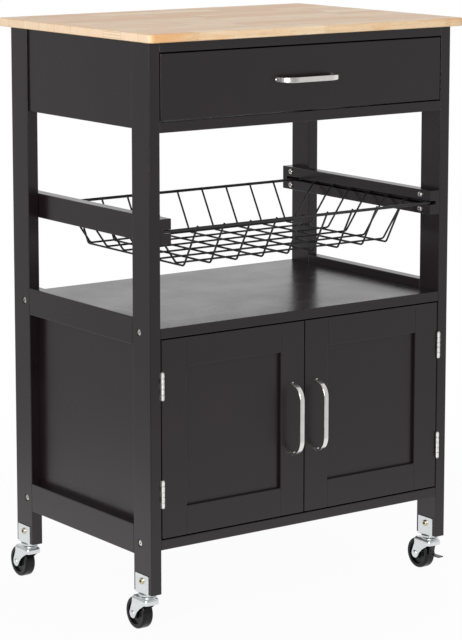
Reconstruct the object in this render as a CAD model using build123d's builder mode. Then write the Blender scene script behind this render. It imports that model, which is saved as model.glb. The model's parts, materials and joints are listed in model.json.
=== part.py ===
"""Kitchen cart: a painted wooden frame on casters, with a solid wood worktop,
one drawer, a pull-out wire basket, an open shelf and a cabinet with two doors.
Millimetres, +Z up, front towards -Y, origin on the floor under the middle of the outline."""
import os
from math import cos, hypot, radians, sin

from build123d import *

os.makedirs("parts", exist_ok=True)

# Frame
body_width = 552.0
body_depth = 373.0
leg_length = 798.5
leg_thickness = 18.0
leg_depth = 45.0
edge_round = 1.0
fit_clearance = 0.1
overrun = 2.0

# Worktop
worktop_thickness = 12.5
worktop_side_overhang = 11.5
worktop_front_overhang = 20.0
worktop_back_overhang = 22.0
worktop_corner_radius = 10.0
worktop_edge_round = 1.6

# Boards and rails
floor_rise = 65.5
floor_thickness = 15.0
cabinet_clear_height = 294.8
shelf_thickness = 15.0
shelf_rail_height = 41.0
bottom_rail_height = 44.0
bottom_rail_drop = 11.5
apron_height = 125.0
apron_recess = 3.0
rail_thickness = 15.0
rail_depth = 40.0
drawer_opening_height = 98.5
side_panel_thickness = 3.0
side_panel_lap = 7.0
back_panel_thickness = 3.0
back_panel_tongue = 5.0
back_panel_inset = 12.0
door_stop_width = 60.0
door_stop_depth = 14.0
door_stop_height = 16.0
door_stop_clearance = 0.3

# Frame fasteners
bolt_radius = 3.0
bolt_length = 48.0
bolt_head_radius = 5.2
bolt_head_height = 2.6
bolt_head_sink = 0.8
bolt_socket_radius = 2.3
bolt_socket_depth = 1.8
bolt_inset = 29.5
barrel_nut_radius = 5.0
barrel_nut_length = 12.0
barrel_nut_setback = 9.0
dowel_radius = 4.0
dowel_length = 25.0
dowel_spread_share = 0.3
screw_radius = 2.0
screw_head_radius = 4.4
screw_head_height = 2.4
screw_head_sink = 0.8
screw_slot_width = 1.2
screw_slot_depth = 0.9
screw_slot_share = 0.7
worktop_screw_bite = 9.0
worktop_screw_spacing = 300.0

# Basket runners
runner_rise = 120.2
runner_height = 37.0
runner_thickness = 19.0
groove_height = 5.8
groove_depth = 12.0
groove_end = 12.0
runner_screw_spread = 22.0
runner_screw_bite = 11.0

# Basket
rim_radius = 2.3
rim_corner_radius = 10.0
rim_side_clearance = 0.9
rim_seat_clearance = 0.3
rim_front_setback = 4.0
rim_back_setback = 37.0
basket_depth = 60.0
basket_end_lean = 34.0
basket_side_lean = 40.0
basket_side_step = 12.0
wire_radius = 1.5
wire_bend_radius = 7.0
wire_tip_rise = 2.5
wire_gap = 0.05
long_wire_count = 9
long_wire_margin = 4.5
cross_wire_count = 6
cross_wire_margin = 17.5

# Drawer
drawer_gap = 1.8
drawer_front_thickness = 18.0
drawer_side_thickness = 12.0
drawer_side_height = 72.0
drawer_side_lift = 8.0
drawer_side_clearance = 7.0
drawer_back_clearance = 19.0
drawer_back_height = 58.0
drawer_bottom_thickness = 4.0
drawer_bottom_lift = 8.0
drawer_bottom_tongue = 5.0
drawer_runner_height = 14.0
drawer_runner_engagement = 5.0
drawer_runner_play = 0.4
drawer_runner_start = 2.0
drawer_runner_screw_inset = 14.0
drawer_runner_screw_sink = 3.5

# Doors
door_gap = 1.8
door_thickness = 18.0
door_member_width = 43.0
door_panel_thickness = 4.5
door_panel_recess = 5.5
door_panel_tongue = 7.0
door_groove_spare = 0.5

# Handles
handle_length = 105.0
handle_projection = 25.0
handle_band_width = 8.0
handle_band_thickness = 3.0
handle_edge_round = 0.8
handle_stub = 3.0
handle_foot_radius = 3.6
handle_foot_height = 5.0
handle_screw_radius = 1.9

# Hinges
hinge_height = 40.0
hinge_end_distance = 46.5
hinge_leaf_thickness = 0.8
hinge_leaf_play = 0.2
hinge_leaf_depth = 14.0
hinge_knuckle_radius = 2.7
hinge_knuckle_count = 5
hinge_knuckle_gap = 0.2
hinge_standoff = 0.3
hinge_pin_radius = 1.2
hinge_pin_play = 0.05
hinge_pin_head_radius = 1.9
hinge_pin_head_height = 0.8

# Casters
wheel_diameter = 48.0
wheel_tread_width = 17.0
wheel_hub_width = 20.8
wheel_hub_radius = 8.0
wheel_web_width = 9.0
wheel_tread_height = 7.0
wheel_tread_round = 2.5
wheel_top_clearance = 1.7
caster_trail = 22.0
fork_sheet = 2.0
fork_inner_width = 22.0
fork_top_front = 13.0
fork_top_back = 23.0
fork_cheek_height = 10.0
fork_axle_radius = 7.5
fork_sweep_radius = 47.5
fork_sweep_ahead = 27.0
fork_sweep_below = 27.0
fork_race_radius = 12.5
fork_race_height = 1.6
fork_corner_round = 3.0
axle_radius = 3.0
axle_play = 0.08
axle_head_radius = 5.0
axle_head_height = 1.6
swivel_gap = 0.3
swivel_cap_radius = 14.0
swivel_cap_height = 3.8
kingpin_radius = 4.0
kingpin_head_radius = 6.0
kingpin_head_height = 1.0
bracket_sheet = 1.6
bracket_width = 34.0
bracket_plate_height = 28.0
bracket_plate_round = 2.0
bracket_screw_rise = 18.5
bracket_screw_radius = 2.5
bracket_screw_spare = 1.0
bracket_screw_head_radius = 5.0
bracket_screw_head_height = 2.6

# Brake levers
brake_sheet = 1.6
brake_width = 10.0
brake_bend_radius = 2.0
brake_edge_round = 0.3
brake_boss_radius = 2.8
brake_pin_radius = 1.6
brake_pin_play = 0.05
brake_pivot_standoff = 10.9
brake_pivot_angle = 146.1
brake_shoe_standoff = 3.4
brake_shoe_angle = 165.0
brake_heel_standoff = 3.6
brake_heel_angle = 176.0
brake_tab_reach = 26.0
brake_tab_rise = 0.6

# Radii of the holes that the fasteners, pins and axles go through
bolt_hole = bolt_radius + fit_clearance
dowel_hole = dowel_radius + fit_clearance
screw_hole = screw_radius + fit_clearance
handle_screw_hole = handle_screw_radius + fit_clearance
bracket_screw_hole = bracket_screw_radius + fit_clearance
kingpin_hole = kingpin_radius + fit_clearance
swivel_hole = kingpin_radius + axle_play
axle_hole = axle_radius + axle_play
brake_pin_hole = brake_pin_radius + brake_pin_play

# Heights above the floor
wheel_radius = wheel_diameter / 2
fork_plate_low = wheel_diameter + wheel_top_clearance
fork_plate_high = fork_plate_low + fork_sheet
fork_race_high = fork_plate_high + fork_race_height
bracket_cap_low = fork_race_high + swivel_gap
bracket_web_low = bracket_cap_low + swivel_cap_height
leg_low = bracket_web_low + bracket_sheet
leg_high = leg_low + leg_length
floor_low = leg_low + floor_rise
floor_high = floor_low + floor_thickness
shelf_low = floor_high + cabinet_clear_height
shelf_high = shelf_low + shelf_thickness
shelf_rail_low = (shelf_low + shelf_high - shelf_rail_height) / 2
shelf_rail_high = shelf_rail_low + shelf_rail_height
bottom_rail_low = floor_low - bottom_rail_drop
bottom_rail_high = bottom_rail_low + bottom_rail_height
apron_low = leg_high - apron_height
top_rail_low = leg_high - rail_thickness
drawer_rail_high = top_rail_low - drawer_opening_height
drawer_rail_low = drawer_rail_high - rail_thickness
runner_low = shelf_high + runner_rise
runner_high = runner_low + runner_height
runner_middle = (runner_low + runner_high) / 2
bolt_heights = ((floor_low + floor_high) / 2, (shelf_low + shelf_high) / 2)

# Places across the cart, measured out from its middle
half_body = body_width / 2
inner_half = half_body - leg_thickness
leg_middle = half_body - leg_thickness / 2
runner_face = inner_half - runner_thickness
apron_face = half_body - apron_recess
apron_middle = (apron_face + inner_half) / 2

# Places from front to back
front_reach = max(handle_projection, worktop_front_overhang, brake_tab_reach - leg_depth / 2)
rear_reach = max(worktop_back_overhang, caster_trail + wheel_radius - leg_depth / 2)
front = (front_reach - body_depth - rear_reach) / 2
back = front + body_depth
back_apron_high = back - apron_recess
back_apron_low = back_apron_high - (leg_thickness - apron_recess)

sides = {"left": -1, "right": 1}
leg_starts = {"front": front, "rear": back - leg_depth}
inward = {"front": 1, "rear": -1}


def sided(side, near, far):
    """Limits along X on one side of the cart, lower first."""
    return tuple(sorted((side * near, side * far)))


def slab(x_span, y_span, z_span, mode=Mode.ADD):
    """A box between two limits on each axis, for the part being built."""
    spans = (x_span, y_span, z_span)
    with Locations(tuple(low for low, high in spans)):
        Box(*(high - low for low, high in spans), align=(Align.MIN,) * 3, mode=mode)


def grown(span, amount):
    """A span with the same amount added at both ends."""
    return span[0] - amount, span[1] + amount


def rod(start, direction, length, radius, mode=Mode.ADD):
    """A round bar that starts at a point and runs along a direction."""
    with Locations(Plane(origin=start, z_dir=direction)):
        Cylinder(radius, length, align=(Align.CENTER, Align.CENTER, Align.MIN), mode=mode)


def bore(start, direction, length, radius):
    """A round hole from a surface point inwards, cut a little past the surface as well."""
    outside = Vector(*start) - Vector(*direction) * overrun
    rod(outside, direction, length + overrun, radius, mode=Mode.SUBTRACT)


def bar_across(middle, direction, length, radius, mode=Mode.ADD):
    """A round bar centred on a point."""
    with Locations(Plane(origin=middle, z_dir=direction)):
        Cylinder(radius, length, mode=mode)


def write_piece(piece, name):
    """Label a finished piece and write it to its own file."""
    piece.part.label = name
    export_step(piece.part, f"parts/{name}.step")


def spread_heights(low, high):
    """Two heights set evenly about the middle of a rail."""
    middle = (low + high) / 2
    offset = (high - low) * dowel_spread_share
    return middle - offset, middle + offset


def joint_edge(row):
    """Where a leg's edge meets the side rails."""
    return leg_starts[row] + (leg_depth if row == "front" else 0)


# Dowels: middle, direction, the leg that holds one half and the rail that holds the other
dowels = []
for side_name, side in sides.items():
    for row in leg_starts:
        leg_name = f"{row}_{side_name}_leg"
        for rail, middle, low, high in (
            ("side_apron", apron_middle, apron_low, leg_high),
            ("shelf_rail", leg_middle, shelf_rail_low, shelf_rail_high),
            ("bottom_rail", leg_middle, bottom_rail_low, bottom_rail_high),
        ):
            for height in spread_heights(low, high):
                place = (side * middle, joint_edge(row), height)
                dowels.append((place, (0, 1, 0), leg_name, f"{side_name}_{rail}"))
    for height in spread_heights(apron_low, top_rail_low):
        place = (side * inner_half, (back_apron_low + back_apron_high) / 2, height)
        dowels.append((place, (1, 0, 0), f"rear_{side_name}_leg", "back_apron"))
    for rail, row, height in (
        ("front_top_rail", "front", (top_rail_low + leg_high) / 2),
        ("rear_top_rail", "rear", (top_rail_low + leg_high) / 2),
        ("drawer_rail", "front", (drawer_rail_low + drawer_rail_high) / 2),
    ):
        reach = inward[row] * rail_depth / 2
        place = (side * inner_half, (front if row == "front" else back) + reach, height)
        dowels.append((place, (1, 0, 0), f"{row}_{side_name}_leg", rail))


def cut_dowel_holes(owner):
    """Holes for every dowel that enters a leg or rail."""
    for place, direction, leg_name, rail_name in dowels:
        if owner in (leg_name, rail_name):
            bar_across(place, direction, dowel_length + 2 * fit_clearance, dowel_hole, Mode.SUBTRACT)


with BuildPart() as rail_dowels:
    for place, direction, leg_name, rail_name in dowels:
        bar_across(place, direction, dowel_length, dowel_radius)
write_piece(rail_dowels, "rail_dowels")

# Spaces that the thin panels take in the pieces around them
side_panel_x = (inner_half, inner_half + side_panel_thickness)
side_panel_y = (joint_edge("front") - side_panel_lap, joint_edge("rear") + side_panel_lap)
side_panel_z = (bottom_rail_high - side_panel_lap, shelf_rail_low + side_panel_lap)
back_panel_x = (-inner_half - back_panel_tongue, inner_half + back_panel_tongue)
back_panel_y = (back - back_panel_inset - back_panel_thickness, back - back_panel_inset)
back_panel_z = (floor_high - back_panel_tongue, shelf_low + back_panel_tongue)


def cut_side_panel_rabbet(side):
    """Step on the inner face that the side panel lies in."""
    x_span = sided(side, side_panel_x[0] - overrun, side_panel_x[1] + fit_clearance)
    slab(x_span, grown(side_panel_y, fit_clearance), grown(side_panel_z, fit_clearance), Mode.SUBTRACT)


def cut_back_panel_groove():
    """Groove that the edges of the cabinet's back panel lie in."""
    spans = (grown(span, fit_clearance) for span in (back_panel_x, back_panel_y, back_panel_z))
    slab(*spans, Mode.SUBTRACT)


def bolt_place(row):
    """Distance from the front at which the frame bolts enter a leg."""
    return front + bolt_inset if row == "front" else back - bolt_inset


def runner_screws_of(row):
    """Places along Y and Z of the two screws at one end of a basket runner."""
    middle_y = leg_starts[row] + leg_depth / 2
    return [(middle_y, runner_middle + sign * runner_screw_spread / 2) for sign in (-1, 1)]


# Drawer runner limits, used by the runner, its screws and the groove in the drawer side
drawer_side_low = drawer_rail_high + drawer_side_lift
drawer_side_high = drawer_side_low + drawer_side_height
drawer_runner_middle = (drawer_side_low + drawer_side_high) / 2
drawer_runner_z = (
    drawer_runner_middle - drawer_runner_height / 2,
    drawer_runner_middle + drawer_runner_height / 2,
)
drawer_side_face = inner_half - drawer_side_clearance
drawer_runner_face = drawer_side_face - drawer_runner_engagement
drawer_runner_y = (front + drawer_front_thickness + drawer_runner_start, back_apron_low)
drawer_runner_screws = {
    "front": drawer_runner_y[0] + drawer_runner_screw_inset,
    "rear": drawer_runner_y[1] - drawer_runner_screw_inset,
}

# Legs
bracket_screw_height = leg_low + bracket_screw_rise
bracket_screw_bite = leg_thickness / 2 - bracket_screw_spare
for side_name, side in sides.items():
    for row, start in leg_starts.items():
        leg_name = f"{row}_{side_name}_leg"
        with BuildPart() as leg:
            slab(sided(side, inner_half, half_body), (start, start + leg_depth), (leg_low, leg_high))
            fillet(leg.edges(), edge_round)
            cut_dowel_holes(leg_name)
            cut_side_panel_rabbet(side)
            for height in bolt_heights:
                entry = (side * half_body, bolt_place(row), height)
                bore(entry, (-side, 0, 0), leg_thickness + overrun, bolt_hole)
                bore(
                    entry,
                    (-side, 0, 0),
                    bolt_head_sink + bolt_head_height,
                    bolt_head_radius + fit_clearance,
                )
            for middle_y, height in runner_screws_of(row):
                entry = (side * inner_half, middle_y, height)
                bore(entry, (side, 0, 0), runner_screw_bite + fit_clearance, screw_hole)
            entry = (side * inner_half, drawer_runner_screws[row], drawer_runner_middle)
            bore(entry, (side, 0, 0), runner_screw_bite + fit_clearance, screw_hole)
            for face, direction in ((half_body, -side), (inner_half, side)):
                entry = (side * face, start + leg_depth / 2, bracket_screw_height)
                bore(
                    entry,
                    (direction, 0, 0),
                    bracket_screw_bite + fit_clearance,
                    bracket_screw_hole,
                )
            if row == "rear":
                cut_back_panel_groove()
        write_piece(leg, leg_name)

# Side aprons and side rails, between the front and rear legs
between_legs = (joint_edge("front"), joint_edge("rear"))
for side_name, side in sides.items():
    with BuildPart() as side_apron:
        slab(sided(side, inner_half, apron_face), between_legs, (apron_low, leg_high))
        fillet(side_apron.edges(), edge_round)
        cut_dowel_holes(f"{side_name}_side_apron")
    write_piece(side_apron, f"{side_name}_side_apron")

    for rail, low, high in (
        ("shelf_rail", shelf_rail_low, shelf_rail_high),
        ("bottom_rail", bottom_rail_low, bottom_rail_high),
    ):
        with BuildPart() as side_rail:
            slab(sided(side, inner_half, half_body), between_legs, (low, high))
            fillet(side_rail.edges(), edge_round)
            cut_dowel_holes(f"{side_name}_{rail}")
            cut_side_panel_rabbet(side)
        write_piece(side_rail, f"{side_name}_{rail}")

with BuildPart() as side_panels:
    for side in sides.values():
        slab(sided(side, *side_panel_x), side_panel_y, side_panel_z)
write_piece(side_panels, "side_panels")

# Boards and rails that cross the cart
across = (-inner_half, inner_half)
with BuildPart() as back_apron:
    slab(across, (back_apron_low, back_apron_high), (apron_low, top_rail_low))
    fillet(back_apron.edges(), edge_round)
    cut_dowel_holes("back_apron")
write_piece(back_apron, "back_apron")

worktop_screws_x = (-worktop_screw_spacing / 2, worktop_screw_spacing / 2)
worktop_screw_rows = {"front": front + rail_depth / 2, "rear": back - rail_depth / 2}
worktop_screw_low = top_rail_low + screw_head_height + screw_head_sink
for row, y_span in (("front", (front, front + rail_depth)), ("rear", (back - rail_depth, back))):
    with BuildPart() as top_rail:
        slab(across, y_span, (top_rail_low, leg_high))
        fillet(top_rail.edges(), edge_round)
        cut_dowel_holes(f"{row}_top_rail")
        for x in worktop_screws_x:
            entry = (x, worktop_screw_rows[row], top_rail_low)
            bore(entry, (0, 0, 1), rail_thickness + overrun, screw_hole)
            bore(entry, (0, 0, 1), worktop_screw_low - top_rail_low, screw_head_radius + fit_clearance)
    write_piece(top_rail, f"{row}_top_rail")

with BuildPart() as drawer_rail:
    slab(across, (front, front + rail_depth), (drawer_rail_low, drawer_rail_high))
    fillet(drawer_rail.edges(), edge_round)
    cut_dowel_holes("drawer_rail")
write_piece(drawer_rail, "drawer_rail")

barrel_nut_middle = half_body - bolt_head_sink - bolt_head_height - bolt_length + barrel_nut_setback


def cut_bolt_holes(height, low):
    """Holes in a board's ends for the frame bolts, and from below for their barrel nuts."""
    for side in sides.values():
        for row in leg_starts:
            entry = (side * inner_half, bolt_place(row), height)
            depth = bolt_length + bolt_head_sink + bolt_head_height - leg_thickness + fit_clearance
            bore(entry, (-side, 0, 0), depth, bolt_hole)
            entry = (side * barrel_nut_middle, bolt_place(row), low)
            depth = height - low + barrel_nut_length / 2 + fit_clearance
            bore(entry, (0, 0, 1), depth, barrel_nut_radius + fit_clearance)


for name, low, high in (("cabinet_floor", floor_low, floor_high), ("shelf", shelf_low, shelf_high)):
    with BuildPart() as wide_board:
        slab(across, (front, back), (low, high))
        fillet(wide_board.edges(), edge_round)
        cut_bolt_holes((low + high) / 2, low)
        cut_back_panel_groove()
    write_piece(wide_board, name)

with BuildPart() as cabinet_back_panel:
    slab(back_panel_x, back_panel_y, back_panel_z)
write_piece(cabinet_back_panel, "cabinet_back_panel")

with BuildPart() as door_stop:
    stop_front = front + door_thickness + door_stop_clearance
    slab(
        (-door_stop_width / 2, door_stop_width / 2),
        (stop_front, stop_front + door_stop_depth),
        (shelf_low - door_stop_height, shelf_low),
    )
    fillet(door_stop.edges(), edge_round)
write_piece(door_stop, "door_stop")

# Worktop
worktop_width = body_width + 2 * worktop_side_overhang
worktop_y = (front - worktop_front_overhang, back + worktop_back_overhang)
with BuildPart() as worktop:
    with BuildSketch(Plane.XY.offset(leg_high)):
        with Locations((0, (worktop_y[0] + worktop_y[1]) / 2)):
            RectangleRounded(worktop_width, worktop_y[1] - worktop_y[0], worktop_corner_radius)
    extrude(amount=worktop_thickness)
    fillet(worktop.faces().filter_by(Axis.Z).edges(), worktop_edge_round)
    for row_y in worktop_screw_rows.values():
        for x in worktop_screws_x:
            bore((x, row_y, leg_high), (0, 0, 1), worktop_screw_bite + fit_clearance, screw_hole)
write_piece(worktop, "worktop")

# Frame bolts with their barrel nuts
bolt_spots = [
    (side, row, height) for side in sides.values() for row in leg_starts for height in bolt_heights
]
with BuildPart() as frame_bolts:
    for side, row, height in bolt_spots:
        middle = (side * barrel_nut_middle, bolt_place(row), height)
        bar_across(middle, (0, 0, 1), barrel_nut_length, barrel_nut_radius)
        cross_hole = 2 * barrel_nut_radius + overrun
        bar_across(middle, (1, 0, 0), cross_hole, bolt_hole, Mode.SUBTRACT)
    for side, row, height in bolt_spots:
        face = (side * (half_body - bolt_head_sink), bolt_place(row), height)
        rod(face, (-side, 0, 0), bolt_head_height, bolt_head_radius)
        rod(face, (-side, 0, 0), bolt_head_height + bolt_length, bolt_radius)
        with BuildSketch(Plane(origin=face, z_dir=(side, 0, 0))):
            RegularPolygon(bolt_socket_radius, 6)
        extrude(amount=-bolt_socket_depth, mode=Mode.SUBTRACT)
write_piece(frame_bolts, "frame_bolts")


def wood_screw(face, direction, length, head_radius, radius, head_height):
    """A pan-head screw: the head stands on the face, and the shank runs in along the direction."""
    inwards = Vector(*direction)
    head_top = Vector(*face) - inwards * head_height
    rod(head_top, direction, head_height, head_radius)
    rod(head_top, direction, head_height + length, radius)
    slot_length = 2 * head_radius * screw_slot_share
    with Locations(Plane(origin=head_top, z_dir=direction)):
        Box(slot_length, screw_slot_width, 2 * screw_slot_depth, mode=Mode.SUBTRACT)
        Box(screw_slot_width, slot_length, 2 * screw_slot_depth, mode=Mode.SUBTRACT)


# Runners for the basket and the drawer
for side_name, side in sides.items():
    with BuildPart() as basket_runner:
        slab(sided(side, runner_face, inner_half), (front, back), (runner_low, runner_high))
        fillet(basket_runner.edges(), edge_round)
        slab(
            sided(side, runner_face - overrun, runner_face + groove_depth),
            (front - overrun, back - groove_end),
            (runner_middle - groove_height / 2, runner_middle + groove_height / 2),
            Mode.SUBTRACT,
        )
        for row in leg_starts:
            for middle_y, height in runner_screws_of(row):
                entry = (side * runner_face, middle_y, height)
                bore(entry, (side, 0, 0), runner_thickness + overrun, screw_hole)
    write_piece(basket_runner, f"{side_name}_basket_runner")

drawer_runner_thickness = inner_half - drawer_runner_face
with BuildPart() as drawer_runners:
    for side in sides.values():
        slab(sided(side, drawer_runner_face, inner_half), drawer_runner_y, drawer_runner_z)
    fillet(drawer_runners.edges(), edge_round)
    for side in sides.values():
        for screw_y in drawer_runner_screws.values():
            entry = (side * drawer_runner_face, screw_y, drawer_runner_middle)
            bore(entry, (side, 0, 0), drawer_runner_thickness + overrun, screw_hole)
            bore(entry, (side, 0, 0), drawer_runner_screw_sink, screw_head_radius + fit_clearance)
write_piece(drawer_runners, "drawer_runners")

with BuildPart() as runner_screws:
    for side in sides.values():
        for row in leg_starts:
            for middle_y, height in runner_screws_of(row):
                wood_screw(
                    (side * runner_face, middle_y, height),
                    (side, 0, 0),
                    runner_thickness + runner_screw_bite,
                    screw_head_radius,
                    screw_radius,
                    screw_head_height,
                )
            seat = drawer_runner_face + drawer_runner_screw_sink
            wood_screw(
                (side * seat, drawer_runner_screws[row], drawer_runner_middle),
                (side, 0, 0),
                inner_half - seat + runner_screw_bite,
                screw_head_radius,
                screw_radius,
                screw_head_height,
            )
write_piece(runner_screws, "runner_screws")

with BuildPart() as worktop_screws:
    for row_y in worktop_screw_rows.values():
        for x in worktop_screws_x:
            wood_screw(
                (x, row_y, worktop_screw_low),
                (0, 0, 1),
                leg_high - worktop_screw_low + worktop_screw_bite,
                screw_head_radius,
                screw_radius,
                screw_head_height,
            )
write_piece(worktop_screws, "worktop_screws")

# Basket: a rim that slides in the runners, and two layers of bent wires
rim_half = runner_face + groove_depth - rim_side_clearance - rim_radius
rim_height = runner_middle - groove_height / 2 + rim_seat_clearance + rim_radius
rim_front = front + rim_front_setback
rim_back = back - rim_back_setback
long_wire_height = rim_height - basket_depth
cross_wire_height = long_wire_height + 2 * wire_radius + wire_gap
floor_half = runner_face - basket_side_step / 2 - basket_side_lean
floor_front = rim_front + basket_end_lean
floor_back = rim_back - basket_end_lean

with BuildPart() as basket_rim:
    with BuildLine(Plane.XY.offset(rim_height)) as rim_route:
        FilletPolyline(
            (-rim_half, rim_back),
            (-rim_half, rim_front),
            (rim_half, rim_front),
            (rim_half, rim_back),
            close=True,
            radius=rim_corner_radius,
        )
    with BuildSketch(Plane(origin=rim_route.line @ 0, z_dir=rim_route.line % 0)) as rim_section:
        Circle(rim_radius)
    sweep(rim_section.sketch, path=rim_route.line)
write_piece(basket_rim, "basket_rim")


def bent_wire(plane, corners):
    """A wire that follows straight runs with rounded bends on a plane."""
    with BuildLine(plane) as route:
        FilletPolyline(*corners, radius=wire_bend_radius)
    with BuildSketch(Plane(origin=route.line @ 0, z_dir=route.line % 0)) as section:
        Circle(wire_radius)
    sweep(section.sketch, path=route.line)


with BuildPart() as basket_long_wires:
    lean = hypot(basket_end_lean, basket_depth)
    stand_off = (rim_radius + wire_radius + wire_gap) * lean / basket_depth
    tip_rise = wire_tip_rise * basket_end_lean / basket_depth
    long_wire_end = floor_half - long_wire_margin
    for number in range(long_wire_count):
        x = long_wire_end * (2 * number / (long_wire_count - 1) - 1)
        bent_wire(
            Plane.YZ.offset(x),
            [
                (rim_front + stand_off - tip_rise, rim_height + wire_tip_rise),
                (floor_front + stand_off, long_wire_height),
                (floor_back - stand_off, long_wire_height),
                (rim_back - stand_off + tip_rise, rim_height + wire_tip_rise),
            ],
        )
write_piece(basket_long_wires, "basket_long_wires")

with BuildPart() as basket_cross_wires:
    tip = rim_half - rim_radius - wire_gap
    shoulder = runner_face - basket_side_step / 2
    cross_wire_first = floor_front + cross_wire_margin
    cross_wire_last = floor_back - cross_wire_margin
    for number in range(cross_wire_count):
        share = number / (cross_wire_count - 1)
        y = cross_wire_first + (cross_wire_last - cross_wire_first) * share
        bent_wire(
            Plane.XZ.offset(-y),
            [
                (-tip, rim_height),
                (-shoulder, rim_height),
                (-floor_half, cross_wire_height),
                (floor_half, cross_wire_height),
                (shoulder, rim_height),
                (tip, rim_height),
            ],
        )
write_piece(basket_cross_wires, "basket_cross_wires")

# Handles
handle_reach = handle_projection - handle_band_thickness / 2
handle_foot_half = (handle_length - handle_band_thickness) / 2


def bent_band(plane, corners, bend_radius, width, thickness, rounding):
    """A flat band that follows straight runs with rounded bends on a plane, its width square to the plane."""
    with BuildLine(plane) as route:
        FilletPolyline(*corners, radius=bend_radius)
    start = Plane(origin=route.line @ 0, x_dir=plane.z_dir, z_dir=route.line % 0)
    with BuildSketch(start) as section:
        RectangleRounded(width, thickness, rounding)
    sweep(section.sketch, path=route.line)


def handle_feet(plane):
    """The two points where a handle's feet stand."""
    return [plane.from_local_coords((end * handle_foot_half, 0, 0)) for end in (-1, 1)]


def write_handle(plane, name):
    """A handle on a plane, with tapped feet."""
    outwards = plane.y_dir
    with BuildPart() as handle:
        bent_band(
            plane,
            [
                (-handle_foot_half, 0),
                (-handle_foot_half, handle_reach),
                (handle_foot_half, handle_reach),
                (handle_foot_half, 0),
            ],
            handle_reach - handle_stub,
            handle_band_width,
            handle_band_thickness,
            handle_edge_round,
        )
        for foot in handle_feet(plane):
            rod(foot, outwards, handle_foot_height, handle_foot_radius)
        for foot in handle_feet(plane):
            bore(tuple(foot), tuple(outwards), handle_foot_height, handle_screw_hole)
    write_piece(handle, name)


def write_handle_screws(plane, thickness, name):
    """Screws that come through a front from behind into the handle's feet."""
    outwards = plane.y_dir
    with BuildPart() as handle_screws:
        for foot in handle_feet(plane):
            seat = foot - outwards * thickness
            wood_screw(
                tuple(seat),
                tuple(outwards),
                thickness + handle_foot_height - fit_clearance,
                screw_head_radius,
                handle_screw_radius,
                screw_head_height,
            )
    write_piece(handle_screws, name)


def cut_handle_holes(plane, thickness):
    """Clear holes through a front for the handle's screws."""
    for foot in handle_feet(plane):
        bore(tuple(foot), tuple(-plane.y_dir), thickness + overrun, handle_screw_hole)


# Drawer
drawer_front_x = (-inner_half + drawer_gap, inner_half - drawer_gap)
drawer_front_z = (drawer_rail_high + drawer_gap, top_rail_low - drawer_gap)
drawer_box_front = front + drawer_front_thickness
drawer_box_back = back_apron_low - drawer_back_clearance
drawer_bottom_z = (
    drawer_side_low + drawer_bottom_lift,
    drawer_side_low + drawer_bottom_lift + drawer_bottom_thickness,
)
drawer_inner_half = drawer_side_face - drawer_side_thickness
drawer_bottom_x = (-drawer_inner_half - drawer_bottom_tongue, drawer_inner_half + drawer_bottom_tongue)
drawer_bottom_y = (drawer_box_front - drawer_bottom_tongue, drawer_box_back)
drawer_handle_plane = Plane(
    origin=(0, front, (drawer_front_z[0] + drawer_front_z[1]) / 2), x_dir=(1, 0, 0), z_dir=(0, 0, -1)
)


def cut_drawer_bottom_groove():
    """Groove that the edges of the drawer's bottom lie in."""
    y_span = (drawer_bottom_y[0] - fit_clearance, drawer_bottom_y[1] + overrun)
    slab(grown(drawer_bottom_x, fit_clearance), y_span, grown(drawer_bottom_z, fit_clearance), Mode.SUBTRACT)


with BuildPart() as drawer_front:
    slab(drawer_front_x, (front, front + drawer_front_thickness), drawer_front_z)
    fillet(drawer_front.edges(), edge_round)
    cut_handle_holes(drawer_handle_plane, drawer_front_thickness)
    cut_drawer_bottom_groove()
write_piece(drawer_front, "drawer_front")

with BuildPart() as drawer_sides:
    for side in sides.values():
        slab(
            sided(side, drawer_inner_half, drawer_side_face),
            (drawer_box_front, drawer_box_back),
            (drawer_side_low, drawer_side_high),
        )
    fillet(drawer_sides.edges(), edge_round)
    cut_drawer_bottom_groove()
    for side in sides.values():
        slab(
            sided(side, drawer_runner_face - drawer_runner_play, drawer_side_face + overrun),
            (drawer_box_front - overrun, drawer_box_back + overrun),
            grown(drawer_runner_z, drawer_runner_play),
            Mode.SUBTRACT,
        )
write_piece(drawer_sides, "drawer_sides")

with BuildPart() as drawer_back:
    drawer_back_low = drawer_bottom_z[1] + fit_clearance
    slab(
        (-drawer_inner_half, drawer_inner_half),
        (drawer_box_back - drawer_side_thickness, drawer_box_back),
        (drawer_back_low, drawer_back_low + drawer_back_height),
    )
    fillet(drawer_back.edges(), edge_round)
write_piece(drawer_back, "drawer_back")

with BuildPart() as drawer_bottom:
    slab(drawer_bottom_x, drawer_bottom_y, drawer_bottom_z)
write_piece(drawer_bottom, "drawer_bottom")

write_handle(drawer_handle_plane, "drawer_handle")
write_handle_screws(drawer_handle_plane, drawer_front_thickness, "drawer_handle_screws")

# Doors
door_z = (floor_high + door_gap, shelf_low - door_gap)
door_middle = (door_z[0] + door_z[1]) / 2
door_y = (front, front + door_thickness)
door_side_gap = 2 * hinge_leaf_thickness + hinge_leaf_play
door_hinge_edge = inner_half - door_side_gap
door_free_edge = door_gap / 2
door_panel_y = (front + door_panel_recess, front + door_panel_recess + door_panel_thickness)
door_groove_depth = door_panel_tongue + door_groove_spare
door_opening_x = (door_free_edge + door_member_width, door_hinge_edge - door_member_width)
door_opening_z = (door_z[0] + door_member_width, door_z[1] - door_member_width)


def door_handle_plane(side):
    """Where a door's handle stands, with its length along Z."""
    place = (side * (door_free_edge + door_member_width / 2), front, door_middle)
    return Plane(origin=place, x_dir=(0, 0, 1), z_dir=(1, 0, 0))


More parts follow.
